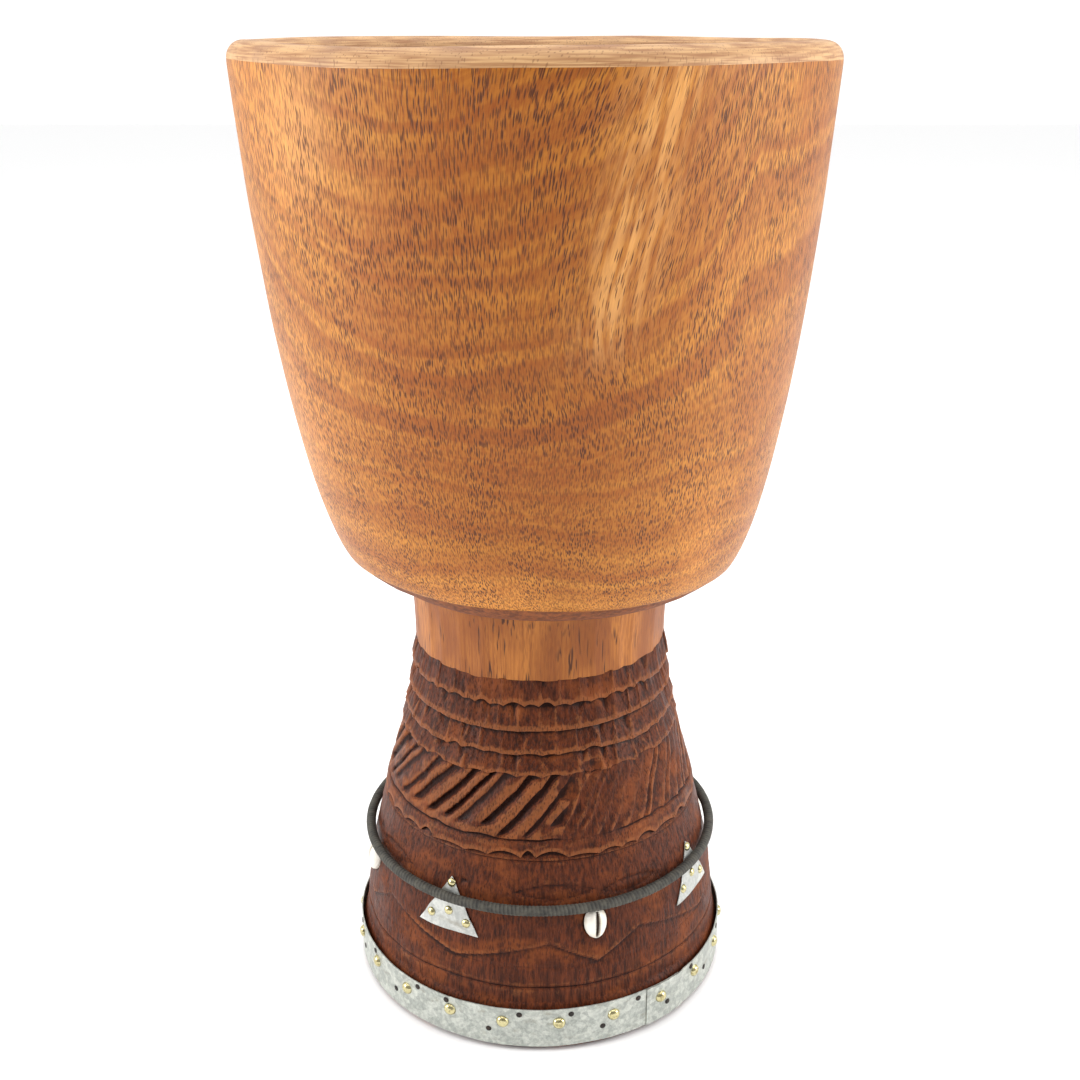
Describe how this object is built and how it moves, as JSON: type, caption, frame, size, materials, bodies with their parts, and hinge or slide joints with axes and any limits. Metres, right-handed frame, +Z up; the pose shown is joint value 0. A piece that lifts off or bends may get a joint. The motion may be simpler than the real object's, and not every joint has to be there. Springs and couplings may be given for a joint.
{
  "type": "djembe",
  "caption": "Bare goblet-shaped hardwood hand drum shell with carved foot, sheet-metal foot band, tacks, tin patches, cowries and a loose cloth-wound ring",
  "frame": {"origin": "centre of the foot's rim on the surface the drum stands on", "axes": "+Z up along the drum's own axis, -Y towards the front, +X to the right seen from the front"},
  "size_m": [0.3429, 0.343, 0.6],
  "materials": {
    "shell_wood": "sanded and oiled satin on the bowl and neck, dark stained and chiselled on the foot",
    "galvanised_strip": "dull galvanised sheet with a faint spangle",
    "brass_tack": "bright pale brass",
    "iron_nail": "dark oxidised iron",
    "tin_patch": "dull tin plate",
    "cowrie_shell": "glossy ivory shell",
    "ring_iron": "dark iron",
    "ring_cloth": "dark grey-green cloth tape"
  },
  "bodies": {
    "shell": {"drum_shell": "shell_wood", "foot_band": "galvanised_strip", "band_dome_tacks": "brass_tack", "upper_band_nails": "iron_nail", "lower_band_nails": "iron_nail", "front_left_patch": "tin_patch", "front_right_patch": "tin_patch", "back_right_patch": "tin_patch", "back_left_patch": "tin_patch", "front_left_patch_tacks": "brass_tack", "front_right_patch_tacks": "brass_tack", "back_right_patch_tacks": "brass_tack", "back_left_patch_tacks": "brass_tack", "front_cowrie": "cowrie_shell", "right_cowrie": "cowrie_shell", "back_cowrie": "cowrie_shell", "left_cowrie": "cowrie_shell"},
    "loose_ring": {"ring_rod": "ring_iron", "ring_wrap": "ring_cloth"}
  },
  "joints": [
    {"name": "ring_slide", "type": "slide", "parent": "shell", "child": "loose_ring", "axis": [0, 0, 1], "range_m": [0, 0.184]}
  ]
}
